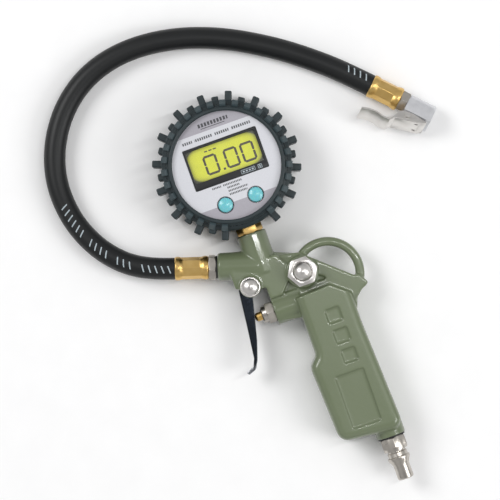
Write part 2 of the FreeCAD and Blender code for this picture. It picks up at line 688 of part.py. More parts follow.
def chuck_body():
    body = joined([
        turned([(23.5, 0), (23.5, 5.2), (24.1, 5.8), (CHUCK_END - 0.7, 5.8), (CHUCK_END, 5.2), (CHUCK_END, 0)],
               V(0, 0, 0), ALONG_X),
        box(V(23.5, -8.1, -5.8), V(CHUCK_END, 0, 5.8)),
        box(V(24.4, -11.0, -4.6), V(28.8, -7, 1.9)),
        cylinder(V(CHUCK_PIN.x, CHUCK_PIN.y, -4.6), UP, 2.2, 6.5),
    ])
    cuts = [
        cylinder(V(20, 0, 0), ALONG_X, 4.6, 11),
        cylinder(V(20, 0, 0), ALONG_X, CHUCK_BORE_R, 30),
        box(V(34.8, -10, -2.3), V(37.5, -3.2, 2.3)),
        cylinder(V(CHUCK_PIN.x, CHUCK_PIN.y, -9), UP, 1.2, 20),
    ]
    for cut in cuts:
        body = body.cut(cut)
    save("chuck_body", laid(body))
    save("chuck_seal", laid(tube(V(28.1, 0, 0), ALONG_X, 4.6, 1.9, 2.9)))
    spider = tube(V(27.0, 0, 0), ALONG_X, 4.6, 3.0, 1.0)
    bars = [box(V(27.0, -3.2, -0.6), V(28.0, 3.2, 0.6)), box(V(27.0, -0.6, -3.2), V(28.0, 0.6, 3.2))]
    save("chuck_depressor", laid(joined([spider] + bars + [cylinder(V(27, 0, 0), ALONG_X, 0.8, 3.9)])))


def chuck_lever():
    sheet = strip([(0.8, -20.6), (5.0, -19.0), (9.5, -18.4), (14.0, -19.3), (18.3, -19.0), (20.5, -15.9),
                   (36.0, -11.5), (38.3, -9.9)], 1.0)
    plate = slab(sheet, 0, -6.0, 6.0)
    cheek = [(18.6, -18.6), (20.7, -15.6), (36.0, -11.2), (38.0, -9.9), (30.0, -8.7), (26.6, -8.8), (23.0, -9.8),
             (21.0, -11.5)]
    cheeks = [slab(cheek, 0, low, low + 1.0) for low in (-6.0, 5.0)]
    jaw = box(V(35.0, -11.8, -1.9), V(36.0, -4.15, 1.9))
    lever = joined([plate] + cheeks + [jaw])
    for side in (-1, 1):
        lever = lever.cut(box(V(32.6, -14, 3.2 * side - 0.6), V(34.4, -10.4, 3.2 * side + 0.6)))
    lever = lever.cut(cylinder(V(CHUCK_PIN.x, CHUCK_PIN.y, -9), UP, 1.2 + RUNNING, 20))
    save("chuck_lever", laid(lever))
    pin = joined([cylinder(V(CHUCK_PIN.x, CHUCK_PIN.y, -6.1), UP, 1.2, 12.2)]
                 + [cylinder(V(CHUCK_PIN.x, CHUCK_PIN.y, low), UP, 1.8, 0.5) for low in (-6.6, 6.1)])
    save("chuck_lever_pin", laid(pin))
    save("chuck_lever_spring", laid(coil_spring(V(CHUCK_PIN.x, CHUCK_PIN.y, 2.35), UP, 1.8, 0.6, 2.2, 3)))


body_casting()
trigger()
trigger_pivot()
air_valve()
bleed_valve()
inlet_plug()
gauge_stem()
gauge_boot()
gauge_case()
gauge_bezel()
display()
electronics()
batteries()
buttons()
gun_fitting()
hose()
chuck_fitting()
chuck_body()
chuck_lever()
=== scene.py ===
# %% [markdown]
# # A tyre inflator with a digital gauge
# The mechanical design is already done: every piece has its size and its place. This lesson gives
# the pieces their finish: soft cast edges under glossy olive paint, moulded rubber, crimped brass,
# chrome, a backlit display. Lengths are metres, and millimetres are written as numbers times MM.

# %% Load the fixed frame
import json
import math
import bmesh
import bpy
from mathutils import Matrix, Vector


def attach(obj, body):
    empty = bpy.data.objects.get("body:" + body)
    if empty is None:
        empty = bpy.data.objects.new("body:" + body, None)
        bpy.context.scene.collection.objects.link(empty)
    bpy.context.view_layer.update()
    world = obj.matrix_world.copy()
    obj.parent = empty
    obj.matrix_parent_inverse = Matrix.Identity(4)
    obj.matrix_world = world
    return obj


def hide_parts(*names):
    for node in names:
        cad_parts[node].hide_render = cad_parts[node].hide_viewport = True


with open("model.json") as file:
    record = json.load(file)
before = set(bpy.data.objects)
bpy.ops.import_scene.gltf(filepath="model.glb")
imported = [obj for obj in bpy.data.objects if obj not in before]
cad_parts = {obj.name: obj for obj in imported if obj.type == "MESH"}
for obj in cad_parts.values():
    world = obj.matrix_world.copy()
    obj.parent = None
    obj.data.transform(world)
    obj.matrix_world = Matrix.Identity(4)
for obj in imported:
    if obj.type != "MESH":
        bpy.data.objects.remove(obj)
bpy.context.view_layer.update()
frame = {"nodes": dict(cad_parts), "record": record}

MM = 0.001

# %% [markdown]
# The gun's hub, where gauge port, hose outlet and bleed valve meet, is the natural place to count
# from, so a helper turns hub millimetres into the shared frame. Heights are from the bench.

# %% Places on the tool
HUB = Vector((-4.21, 19.99, 0.0)) * MM
MID = 12.5
UP = Vector((0, 0, 1))
EAST = Vector((1, 0, 0))
NORTH = Vector((0, 1, 0))


def hub(x, y, z=0.0):
    return Vector((x, y, z)) * MM + HUB


GAUGE = (-0.3, 61.3)
BLEED = (20.3, -10.8)
PIVOT = (-11.0, -9.2)
TRIGGER_TIP = (-28.3, -57.0)
TIP_PALE_REACH = 9.0
VALVE_Y = -27.2
BARREL_FACE = Vector((-25.1, 7.9, MID))
OUT = Vector((-36.4, 11.6, 0)).normalized()
GUN_MOUTH = 24.7
CHUCK_START = Vector((94.5, 77.75, 7.3))
CHUCK_HEADING = math.radians(-46.06)
CHUCK_ROLL = math.radians(-30)
CHUCK_AXIS = Vector((math.cos(CHUCK_HEADING), math.sin(CHUCK_HEADING), 0))
print("gauge centre", tuple(round(c, 4) for c in hub(*GAUGE)))

# %% [markdown]
# ## Camera
# The tool is seen straight from above through a long lens, with the camera rolled so that the grip
# leans. The lens follows from the width that has to fill the frame, so nothing is guessed twice.

# %% Camera
VIEW_WIDTH = 0.290
VIEW_HEIGHT = 1.45
VIEW_ROLL = math.radians(-19.6)
SUBJECT_HEIGHT = 0.015

camera_data = bpy.data.cameras.new("camera")
camera = bpy.data.objects.new("camera", camera_data)
bpy.context.scene.collection.objects.link(camera)
camera.location = hub(-4.0, 11.0) + UP * VIEW_HEIGHT
camera.rotation_euler = (0, 0, VIEW_ROLL)
camera_data.sensor_width = 36
camera_data.lens = 36 * (VIEW_HEIGHT - SUBJECT_HEIGHT) / VIEW_WIDTH
camera_data.clip_end = 20
bpy.context.scene.camera = camera
print("lens", round(camera_data.lens), "mm")

# %% [markdown]
# ## Shader maths as plain expressions
# A material is a small calculation. Wrapping a socket in a class whose operators add Math nodes lets
# a pattern be written as `1 - mask * 0.4`, which reads far better than a page of links.


# %% Values and finishes
class Value:
    """A number or colour on its way through a material."""

    def __init__(self, finish, socket):
        self.finish = finish
        self.socket = socket

    def maths(self, operation, *others):
        sockets = {i: v for i, v in enumerate((self,) + others)}
        return self.finish.node("ShaderNodeMath", {"operation": operation}, sockets)

    def __add__(self, other):
        return self.maths("ADD", other)

    def __mul__(self, other):
        return self.maths("MULTIPLY", other)

    def __sub__(self, other):
        return self.maths("SUBTRACT", other)

    def __rsub__(self, other):
        return self.finish.node("ShaderNodeMath", {"operation": "SUBTRACT"}, {0: other, 1: self})

    def __truediv__(self, other):
        return self.maths("DIVIDE", other)

    def __pow__(self, other):
        return self.maths("POWER", other)

    def __lt__(self, other):
        return self.maths("LESS_THAN", other)

    def __gt__(self, other):
        return self.maths("GREATER_THAN", other)

    def __abs__(self):
        return self.maths("ABSOLUTE")

    def part(self):
        return self.maths("FRACT")

    def limited(self, low, high):
        return self.maths("MAXIMUM", low).maths("MINIMUM", high)


class Graph:
    """A node tree that is filled from code."""

    def put(self, socket, value):
        if isinstance(value, Value):
            self.tree.links.new(value.socket, socket)
        else:
            socket.default_value = value

    def node(self, kind, settings=None, sockets=None, out=0):
        """Any node: its settings first, then the values or links of its sockets."""
        made = self.tree.nodes.new(kind)
        for name, value in (settings or {}).items():
            if name == "stops":
                ramp = made.color_ramp
                while len(ramp.elements) < len(value):
                    ramp.elements.new(0.5)
                for element, (place, colour) in zip(ramp.elements, value):
                    element.position = place
                    element.color = colour
            else:
                setattr(made, name, value)
        for name, value in (sockets or {}).items():
            self.put(made.inputs[name], value)
        return Value(self, made.outputs[out])


class Finish(Graph):
    """One material: a Principled surface and the nodes that feed it."""

    def __init__(self, name, **settings):
        self.material = bpy.data.materials.new(name)
        self.material.use_nodes = True
        self.tree = self.material.node_tree
        self.surface = self.tree.nodes["Principled BSDF"]
        self.set(**settings)

    def set(self, **settings):
        """Sockets of the surface: a plain number stays a number, a Value is linked."""
        for name, value in settings.items():
            self.put(self.surface.inputs[name.replace("_", " ")], value)
        return self

    def place(self, scale=(1, 1, 1), origin=(0, 0, 0), turn=(0, 0, 0)):
        """Object coordinates, moved and scaled, as a vector."""
        here = self.node("ShaderNodeTexCoord", out=3)
        return self.node("ShaderNodeMapping", {"vector_type": "TEXTURE"},
                         {"Vector": here, "Location": origin, "Rotation": turn, "Scale": scale})

    def axes(self, vector):
        split = self.node("ShaderNodeSeparateXYZ", None, {0: vector})
        return [Value(self, output) for output in split.socket.node.outputs]

    def noise(self, size, detail=3, vector=None, roughness=0.5):
        """Cloudy noise whose lumps are about that many metres across."""
        return self.node("ShaderNodeTexNoise", None,
                         {"Vector": vector or self.place(), "Scale": 1 / size, "Detail": detail,
                          "Roughness": roughness})

    def mix(self, factor, low, high):
        """A colour between two colours."""
        return self.node("ShaderNodeMix", {"data_type": "RGBA"}, {0: factor, 6: low, 7: high}, out=2)

    def between(self, factor, low, high):
        """A number between two numbers, as the factor goes from 0 to 1."""
        return factor * (high - low) + low

    def bump(self, height, depth):
        return self.node("ShaderNodeBump", None, {"Height": height, "Distance": depth, "Strength": 1.0})


def rgb(code):
    """A web colour, as the linear values a shader works in."""
    out = []
    for i in (0, 2, 4):
        c = int(code[i:i + 2], 16) / 255
        out.append(c / 12.92 if c <= 0.04045 else ((c + 0.055) / 1.055) ** 2.4)
    return (*out, 1.0)


print("shader helpers ready")

# %% [markdown]
# ## Paint and metals
# The casting is sprayed with a glossy olive enamel: colour barely changes, but the film has a faint
# orange peel and tiny dust, which is what makes paint look like paint. Metals differ mostly in colour
# and in how rough they are, both clouded a little. The trigger is nearly black, paler towards its tip.

# %% Painted and metal finishes
FINISH = {}


def olive_paint():
    f = Finish("olive_paint", Coat_Roughness=0.06, Coat_IOR=1.5)
    patches = f.noise(0.030, 4)
    dust = f.noise(0.0006, 2)
    base = f.mix(patches, rgb("646F52"), rgb("6E785E"))
    specks = (dust > 0.70) * 0.35
    peel = f.noise(0.0016, 2)
    f.set(Base_Color=f.mix(specks, base, rgb("525C42")), Roughness=f.between(patches, 0.26, 0.36),
          Coat_Weight=f.between(peel, 0.45, 0.65), Normal=f.bump(peel, 0.00005))
    return f


def brass():
    f = Finish("brass", Metallic=1.0)
    tarnish = f.noise(0.007, 3)
    f.set(Base_Color=f.mix(tarnish, rgb("CFA455"), rgb("EBCB88")), Roughness=f.between(tarnish, 0.30, 0.38),
          Normal=f.bump(tarnish, 0.00001))
    return f


def chrome():
    f = Finish("chrome", Metallic=1.0)
    smudge = f.noise(0.004, 4)
    f.set(Base_Color=f.mix(smudge, rgb("CFCBC6"), rgb("E8E6E3")), Roughness=f.between(smudge, 0.26, 0.38),
          Normal=f.bump(smudge, 0.000005))
    return f


def nickel_steel():
    f = Finish("nickel_steel", Metallic=1.0)
    cloud = f.noise(0.005, 4)
    f.set(Base_Color=f.mix(cloud, rgb("A7A19A"), rgb("D6D1C8")), Roughness=f.between(cloud, 0.24, 0.34),
          Normal=f.bump(cloud, 0.000005))
    return f


def zinc():
    f = Finish("zinc", Metallic=0.55)
    cloud = f.noise(0.004, 4)
    f.set(Base_Color=f.mix(cloud, rgb("C4C5C9"), rgb("E6E7EA")), Roughness=f.between(cloud, 0.26, 0.40),
          Normal=f.bump(cloud, 0.000005))
    return f


def blued_steel():
    """A dark, glossy coat with fine rubbing marks along the lever, paling to a bright steel colour at the
    tip.
    """
    f = Finish("blued_steel", Metallic=0.85, Coat_Weight=0.6, Coat_Roughness=0.05)
    rub = f.noise(0.0016, 4, f.place(scale=(1, 0.25, 1)))
    cloud = f.noise(0.008, 3)
    coat = f.mix(cloud, rgb("10161D"), rgb("27303A"))
    x, y, _ = f.axes(f.place(scale=(MM, MM, MM), origin=hub(*TRIGGER_TIP)))
    from_tip = (x ** 2.0 + y ** 2.0) ** 0.5 + rub * 3.0
    # the coat's colour pales to bright steel within this reach of the tip
    paleness = (1 - from_tip / TIP_PALE_REACH).limited(0, 1)
    f.set(Base_Color=f.mix(paleness, coat, rgb("B9BCC0")), Roughness=f.between(rub, 0.08, 0.22),
          Normal=f.bump(rub, 0.000004))
    return f


def spring_steel():
    f = Finish("spring_steel", Metallic=1.0)
    drawn = f.noise(0.0008, 2)
    f.set(Base_Color=f.mix(drawn, rgb("77787A"), rgb("A9AAAC")), Roughness=f.between(drawn, 0.22, 0.36))
    return f


for maker in (olive_paint, brass, chrome, nickel_steel, zinc, blued_steel, spring_steel):
    FINISH[maker.__name__] = maker()
FINISH["sensor_can"] = nickel_steel()
print("metals:", sorted(FINISH))

# %% [markdown]
# ## Rubber and plastics
# Moulded rubber is never black: it is a dark blue-grey that goes lighter where it is dusty. The hose
# is extruded, so its faint lines run along it; the boot is moulded, so its texture has no direction.


# %% Rubber and plastic finishes
def boot_rubber(name="boot_rubber", low="1A2426", high="2B373B"):
    f = Finish(name, Specular_IOR_Level=0.4)
    dusty = f.noise(0.012, 5)
    pores = f.noise(0.0005, 3)
    f.set(Base_Color=f.mix(dusty, rgb(low), rgb(high)), Roughness=f.between(dusty, 0.38, 0.56),
          Normal=f.bump(pores, 0.00004))
    return f


def hose_rubber():
    f = Finish("hose_rubber", Specular_IOR_Level=0.35)
    cloud = f.noise(0.020, 4)
    pores = f.noise(0.0006, 3)
    f.set(Base_Color=f.mix(cloud, rgb("0E1011"), rgb("181A1B")), Roughness=f.between(cloud, 0.38, 0.5),
          Normal=f.bump(pores, 0.00003))
    return f


def seal_rubber():
    f = Finish("seal_rubber")
    pores = f.noise(0.0006, 3)
    f.set(Base_Color=f.mix(pores, rgb("0C0D0D"), rgb("1C1D1E")), Roughness=f.between(pores, 0.45, 0.6))
    return f


def plastic(name, low, high, rough, depth):
    """A moulded plastic with a spark-eroded texture."""
    f = Finish(name)
    spark = f.noise(0.0004, 3)
    cloud = f.noise(0.015, 3)
    f.set(Base_Color=f.mix(cloud, rgb(low), rgb(high)), Normal=f.bump(spark, depth),
          Roughness=f.between(spark, rough - 0.06, rough + 0.08))
    return f


def button_blue():
    f = Finish("button_blue", Coat_Weight=0.5, Coat_Roughness=0.12, Subsurface_Weight=0.15,
               Subsurface_Scale=0.002)
    mottle = f.noise(0.0009, 5, None, 0.7)
    f.set(Base_Color=f.mix(mottle, rgb("55B4BE"), rgb("84D2D8")), Roughness=f.between(mottle, 0.24, 0.36))
    return f


for maker in (boot_rubber, hose_rubber, seal_rubber, button_blue):
    FINISH[maker.__name__] = maker()
# pads: a paler copy of the boot rubber, painted light standing in for the light on their tops
FINISH["lit_pad_rubber"] = boot_rubber("lit_pad_rubber", "303D41", "485559")
FINISH["black_plastic"] = plastic("black_plastic", "0F1012", "1B1D20", 0.42, 0.00002)
FINISH["board_green"] = plastic("board_green", "0D4423", "186B37", 0.35, 0.00001)
FINISH["component_black"] = plastic("component_black", "101011", "1E1E20", 0.5, 0.00001)
FINISH["cell_jacket"] = plastic("cell_jacket", "3A3E44", "565B62", 0.3, 0.00001)
print("finishes:", len(FINISH))

# %% [markdown]
# ## The printed face and the display
# The face is a film printed in two greys, darker above and below, with small captions. Captions here
# are rows of plain dashes. The display glows yellow-green and darkens towards its corners; both are
# patterns on Object coordinates, written as distances from lines and from the window's middle.


# %% Printed face, display, window
BUTTONS = {"button_left": (-8.5, 40.0), "button_right": (9.8, 40.0)}


def inside(value, low, high):
    return (value > low) * (value < high)


# each caption: lower edge, height, pitch of its strokes, and the words' left and right ends
CAPTIONS = (
    (86.5, 2.2, 1.9, ((-9.2, 9.4),)),
    (79.7, 1.6, 1.3, ((-20.8, -14.6), (-13.2, -2.2), (-0.8, 7.6), (9.0, 20.6))),
    (50.4, 1.1, 0.95, ((-12.8, -7.4), (-6.4, 5.0))),
    (48.4, 1.1, 0.95, ((-4.2, 3.0),)),
    (46.4, 1.1, 0.95, ((-4.2, 7.4),)),
    (44.4, 1.1, 0.95, ((-4.2, 6.6),)),
)


def face_print():
    f = Finish("face_print", Coat_Weight=0.25, Coat_Roughness=0.25)
    x, y, _ = f.axes(f.place(scale=(MM, MM, MM), origin=hub(0, 0)))
    grain = f.noise(0.0007, 3)
    band = (y > 83.8).maths("MAXIMUM", y < 40.2)
    pale = f.mix(grain, rgb("C6C7CD"), rgb("D4D5DA"))
    dark = f.mix(grain, rgb("98959D"), rgb("A9A6AE"))
    field = f.mix(band, pale, dark)
    ink = 0.0
    for low, tall, pitch, words in CAPTIONS:
        strokes = (x / pitch + low).part() < 0.66
        for left, right in words:
            ink = inside(y, low, low + tall) * inside(x, left, right) * strokes + ink
    ink = inside(y, 85.4, 85.8) * inside(x, -7.5, 7.0) + ink
    for place in BUTTONS.values():
        away = ((x - place[0]) ** 2.0 + (y - place[1]) ** 2.0) ** 0.5
        ink = ink + (away < 4.95)
    ink = ink.limited(0, 1) * f.between(grain, 0.8, 1.0)
    f.set(Base_Color=f.mix(ink, field, rgb("1F2226")), Roughness=f.between(grain, 0.34, 0.5))
    return f


def lcd_glass():
    f = Finish("lcd_glass", Coat_Weight=0.3, Coat_Roughness=0.1)
    x, y, _ = f.axes(f.place(scale=(MM, MM, MM), origin=hub(0.15, 66.15)))
    bulge_x = (abs(x / 22.0)) ** 6.0
    bulge_y = (abs(y / 10.6)) ** 4.0
    falloff = (bulge_x + bulge_y + bulge_x * bulge_y * 1.4).limited(0, 1)
    cloud = f.noise(0.004, 3)
    glow = f.mix(cloud, rgb("B3B716"), rgb("C3C526"))
    colour = f.mix(falloff ** 2.6, glow, rgb("2A2C0C"))
    f.set(Base_Color=colour, Emission_Color=colour, Roughness=f.between(cloud, 0.3, 0.4))
    f.set(Emission_Strength=0.3)
    return f


def clear_window():
    f = Finish("clear_window", Coat_Weight=0.4, Coat_Roughness=0.04)
    haze = f.noise(0.006, 3)
    f.set(Base_Color=f.mix(haze, rgb("E8ECDC"), rgb("F4F6EC")), Roughness=f.between(haze, 0.04, 0.10),
          Alpha=f.between(haze, 0.02, 0.05))
    return f


for maker in (face_print, lcd_glass, clear_window):
    FINISH[maker.__name__] = maker()

# %% [markdown]
# ## Every CAD node gets its finish
# The record names one finish per node, so a loop is enough. Pieces that need finer shape are replaced
# further down, one by one.

# %% Finishes on the CAD nodes
SLOT = {part["node"]: part["material_slot"] for part in frame["record"]["subparts"]}


def paint(obj, slot):
    obj.data.materials.clear()
    obj.data.materials.append(FINISH[slot].material)


for name, obj in frame["nodes"].items():
    paint(obj, SLOT[name])
print("painted", len(SLOT), "nodes")

# %% [markdown]
# ## Helpers for shapes
# Three ways of making a piece cover most of a tool like this: a copy of the CAD mesh with its corners
# broken, a lathe for whatever was turned, and Geometry Nodes for what repeats.

# %% Mesh helpers
SMOOTH_LIMIT = math.radians(38)


def piece(name, mesh, slot, body="body", stands_for=()):
    """Link a finished mesh, give it its finish, and let it ride on its body."""
    obj = bpy.data.objects.new(name, mesh)
    bpy.context.scene.collection.objects.link(obj)
    paint(obj, slot)
    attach(obj, body)
    if stands_for:
        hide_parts(*stands_for)
    return obj


def shade(mesh, limit=SMOOTH_LIMIT):
    """Smooth faces, with the sharp edges left sharp."""
    work = bmesh.new()
    work.from_mesh(mesh)
    for face in work.faces:
        face.smooth = True
    for edge in work.edges:
        edge.smooth = len(edge.link_faces) == 2 and edge.calc_face_angle(0) < limit
    work.to_mesh(mesh)
    work.free()
    return mesh


def merged_copy(node):
    """A CAD node's loose triangles as one connected surface with its flat faces whole."""
    work = bmesh.new()
    work.from_mesh(frame["nodes"][node].data)
    bmesh.ops.remove_doubles(work, verts=work.verts, dist=2e-6)
    bmesh.ops.dissolve_limit(work, angle_limit=math.radians(1.5), verts=work.verts, edges=work.edges)
    mesh = bpy.data.meshes.new(node + "_merged")
    work.to_mesh(mesh)
    work.free()
    return mesh


def evaluated(mesh, *modifiers):
    """The mesh after the given modifiers, each a type and its settings."""
    holder = bpy.data.objects.new("holder", mesh)
    bpy.context.scene.collection.objects.link(holder)
    for kind, settings in modifiers:
        modifier = holder.modifiers.new(kind.lower(), kind)
        for name, value in settings.items():
            setattr(modifier, name, value)
    graph = bpy.context.evaluated_depsgraph_get()
    result = bpy.data.meshes.new_from_object(holder.evaluated_get(graph))
    bpy.data.objects.remove(holder)
    return result


def broken_edges(node, width):
    """The CAD shape with every hard corner bevelled by that many metres."""
    bevel = ("BEVEL", {"width": width, "segments": 2, "limit_method": "ANGLE",
                       "angle_limit": math.radians(32), "use_clamp_overlap": True})
    return shade(evaluated(merged_copy(node), bevel))


def axis_matrix(base, axis, toward=UP):
    """A frame whose Z is the given axis; its X points as near to `toward` as it can."""
    z = Vector(axis).normalized()
    x = Vector(toward) - z * z.dot(toward)
    if x.length < 1e-6:
        x = EAST - z * z.dot(EAST)
    x.normalize()
    y = z.cross(x)
    rotation = Matrix((x, y, z)).transposed().to_4x4()
    return Matrix.Translation(base) @ rotation


def lathe(name, profile, matrix, steps=96, shape=None, closed=False):
    """Turn (along, radius) points in millimetres about the matrix's Z. A shape may trim each radius."""
    work = bmesh.new()
    rings = []
    for along, radius in profile:
        if radius <= 0:
            rings.append([work.verts.new((0, 0, along * MM))])
            continue
        ring = []
        for k in range(steps):
            angle = 2 * math.pi * k / steps
            r = shape(along, angle, radius) if shape else radius
            ring.append(work.verts.new((r * MM * math.cos(angle), r * MM * math.sin(angle), along * MM)))
        rings.append(ring)
    pairs = list(zip(rings, rings[1:])) + ([(rings[-1], rings[0])] if closed else [])
    for low, high in pairs:
        for k in range(steps):
            n = (k + 1) % steps
            if len(low) == 1 and len(high) == 1:
                continue
            if len(low) == 1:
                work.faces.new((low[0], high[n], high[k]))
            elif len(high) == 1:
                work.faces.new((low[k], low[n], high[0]))
            else:
                work.faces.new((low[k], low[n], high[n], high[k]))
    bmesh.ops.recalc_face_normals(work, faces=work.faces)
    work.transform(matrix)
    mesh = bpy.data.meshes.new(name)
    work.to_mesh(mesh)
    work.free()
    return shade(mesh)


def rounded(profile, radius, steps=3):
    """Replace each corner of a profile by a small curve, no larger than its sides allow."""
    out = [profile[0]]
    for a, b, c in zip(profile, profile[1:], profile[2:]):
        b2 = Vector(b)
        before = Vector(a) - b2
        after = Vector(c) - b2
        reach = min(radius, before.length * 0.45, after.length * 0.45)
        start = b2 + before.normalized() * reach
        end = b2 + after.normalized() * reach
        for k in range(steps + 1):
            t = k / steps
            point = start * (1 - t) ** 2 + b2 * 2 * t * (1 - t) + end * t ** 2
            out.append((point.x, point.y))
    out.append(profile[-1])
    return out


def steps_between(low, high, count):
    return [low + (high - low) * k / count for k in range(count + 1)]


def ink_film(name, work, thickness, offset):
    """Flat faces turned into a closed film of ink."""
    flat = bpy.data.meshes.new(name)
    work.to_mesh(flat)
    work.free()
    return evaluated(flat, ("SOLIDIFY", {"thickness": thickness, "offset": offset}))


print("shape helpers ready")

# %% [markdown]
# ## The casting
# A die casting has no sharp edge: metal and then paint flow round every corner, and the joints
# between drum, web and grip are small fillets. Rounding each of a hundred edges by hand would fail
# where they meet, so the merged CAD mesh is remade from fine voxels and smoothed a little, which
# rounds everything by about the same half millimetre.

# %% Casting
VOXEL = 0.00048
cast = evaluated(
    merged_copy("body_casting"),
    ("REMESH", {"mode": "VOXEL", "voxel_size": VOXEL, "adaptivity": 0.0}),
    ("SMOOTH", {"factor": 0.5, "iterations": 5}),
    ("DECIMATE", {"ratio": 0.5}),
)
for polygon in cast.polygons:
    polygon.use_smooth = True
piece("casting", cast, "olive_paint", "body", ["body_casting"])
print("casting triangles:", sum(len(p.vertices) - 2 for p in cast.polygons))

# %% [markdown]
# ## Hose
# One smooth curve through the air: it leaves the ferrule straight, sinks to the bench and sweeps
# round the gauge to the chuck. A NURBS curve of order 3 never kinks, so it bends as real hose does.

# %% Hose route
HOSE_R = 6.35
HOSE_GRIP = 1.0                 # how far the full hose reaches into each ferrule
ROUTE = [
    BARREL_FACE + OUT * (GUN_MOUTH - HOSE_GRIP),
    BARREL_FACE + OUT * (GUN_MOUTH + 13.5),
    (-77.0, 29.2, 11.0),
    (-89.6, 45.3, 8.6),
    (-96.8, 65.5, 6.9),
    (-97.4, 87.5, 6.4),
    (-90.5, 108.5, 6.4),
    (-76.8, 127.0, 6.4),
    (-57.6, 139.9, 6.4),
    (-33.5, 145.3, 6.4),
    (-6.5, 143.0, 6.4),
    (21.0, 133.8, 6.4),
    (47.5, 118.6, 6.4),
    (66.5, 104.3, 6.7),
    CHUCK_START - CHUCK_AXIS * 18,
    CHUCK_START + CHUCK_AXIS * HOSE_GRIP,
]


def hose_curve(name, depth):
    curve = bpy.data.curves.new(name, "CURVE")
    curve.dimensions = "3D"
    spline = curve.splines.new("NURBS")
    spline.points.add(len(ROUTE) - 1)
    for point, place in zip(spline.points, ROUTE):
        point.co = (*hub(*place), 1)
    spline.order_u = 3
    spline.use_endpoint_u = True
    spline.resolution_u = 24
    curve.bevel_depth = depth
    curve.bevel_resolution = 10
    curve.use_fill_caps = True
    obj = bpy.data.objects.new(name, curve)
    bpy.context.scene.collection.objects.link(obj)
    return obj


def centreline():
    """Points along the hose, read back from the curve itself."""
    bare = hose_curve("bare_route", 0)
    graph = bpy.context.evaluated_depsgraph_get()
    line = bpy.data.meshes.new_from_object(bare.evaluated_get(graph))
    points = [v.co.copy() for v in line.vertices]
    bpy.data.objects.remove(bare)
    return points


LINE = centreline()
LINE_LENGTH = sum((b - a).length for a, b in zip(LINE, LINE[1:]))
hose = hose_curve("air_hose", HOSE_R * MM)
hose.data.materials.append(FINISH["hose_rubber"].material)
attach(hose, "body")
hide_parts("hose")
print("hose length", round(LINE_LENGTH, 4), "m from", len(LINE), "points")

# %% [markdown]
# Rubber hose carries a printed line. Here it is a run of plain slanted strokes, laid as a thin film on
# the curved surface: each stroke is cut into strips that follow the hose.


# %% Printed marks on the hose
INK_LIFT = 0.06


def along_line(distance):
    """Place and direction at a distance along the hose."""
    for a, b in zip(LINE, LINE[1:]):
        step = (b - a).length
        if distance <= step:
            return a + (b - a) * (distance / step), (b - a).normalized()
        distance -= step
    return LINE[-1], (LINE[-1] - LINE[-2]).normalized()


def film_patch(work, start, end, low, high, lean=0.0):
    """Film from start to end along the hose and low to high across it, in millimetres, perhaps leaning."""
    radius = (HOSE_R + INK_LIFT) * MM
    columns = steps_between(low, high, 4)
    rows = []
    for s in steps_between(start, end, max(1, int(end - start))):
        row = []
        for a in columns:
            centre, heading = along_line((s + lean * (a - low) / (high - low)) * MM)
            side = heading.cross(UP).normalized()
            rise = side.cross(heading)
            angle = a / HOSE_R
            row.append(work.verts.new(centre + (side * math.sin(angle) + rise * math.cos(angle)) * radius))
        rows.append(row)
    for first, second in zip(rows, rows[1:]):
        for a, b, c, d in zip(first, first[1:], second[1:], second):
            work.faces.new((a, b, c, d))


STROKE = 0.75
STROKE_LEAN = 1.65
STROKE_HALF = 2.1
MARK_PITCH = 3.75


def printed_line(work, start, marks, shift):
    """Slanted strokes from that many millimetres along the hose, one for each slash."""
    for k, mark in enumerate(marks):
        if mark == "/":
            left = start + k * MARK_PITCH
            film_patch(work, left, left + STROKE, shift - STROKE_HALF, shift + STROKE_HALF, STROKE_LEAN)


film = bmesh.new()
printed_line(film, 3, "///// /// //// //////", -0.6)
printed_line(film, LINE_LENGTH / MM - 18, "////", -3.0)
bmesh.ops.recalc_face_normals(film, faces=film.faces)
print_mesh = ink_film("hose_marks", film, 0.00005, 0.0)


def mark_ink():
    f = Finish("mark_ink")
    paleness = f.noise(0.0011, 4, None, 0.7)
    f.set(Base_Color=f.mix(paleness, rgb("7E8A90"), rgb("C6D2D8")), Roughness=f.between(paleness, 0.4, 0.6))
    return f


FINISH["mark_ink"] = mark_ink()
marks = piece("hose_marks", print_mesh, "mark_ink")

# %% [markdown]
# ## Ferrules
# A ferrule is a brass sleeve squeezed in a press: both ends keep a round bead, and the middle is
# pressed into flats. The lathe takes a shape that pulls the middle in at eight places.


# %% Crimped ferrules
def crimped(low, high, jaws, depth, turn=0.0):
    """A shape for lathe(): flats pressed into the middle, fading out towards the beads."""
    def trim(along, angle, radius):
        if not low < along < high:
            return radius
        ease = min(1.0, min(along - low, high - along) / 1.2)
        wedge = (angle + turn) % (2 * math.pi / jaws) - math.pi / jaws
        flat = (radius - depth) / math.cos(wedge)
        return radius + (min(radius, flat) - radius) * ease
    return trim


def ferrule_profile(length, end_r, waist_r, bead):
    bore = 5.55
    outer = [(0.0, end_r - 0.5), (0.5, end_r), (bead, end_r), (bead + 1.1, waist_r + 0.25)]
    outer += [(a, waist_r + 0.25) for a in steps_between(bead + 1.6, length - bead - 1.6, 14)]
    outer += [(length - bead - 1.1, waist_r + 0.25), (length - bead, end_r), (length - 0.5, end_r),
              (length, end_r - 0.5)]
    return [(0.0, bore)] + rounded(outer, 0.5) + [(length, bore)]


def chuck_matrix(along=0.0):
    turn = Matrix.Rotation(CHUCK_HEADING, 4, "Z") @ Matrix.Rotation(CHUCK_ROLL, 4, "X")
    lie = Matrix.Translation(hub(*CHUCK_START)) @ turn
    return lie @ axis_matrix(Vector((along * MM, 0, 0)), EAST)


def barrel_matrix(along=0.0):
    return axis_matrix(hub(*(BARREL_FACE + OUT * along)), OUT)


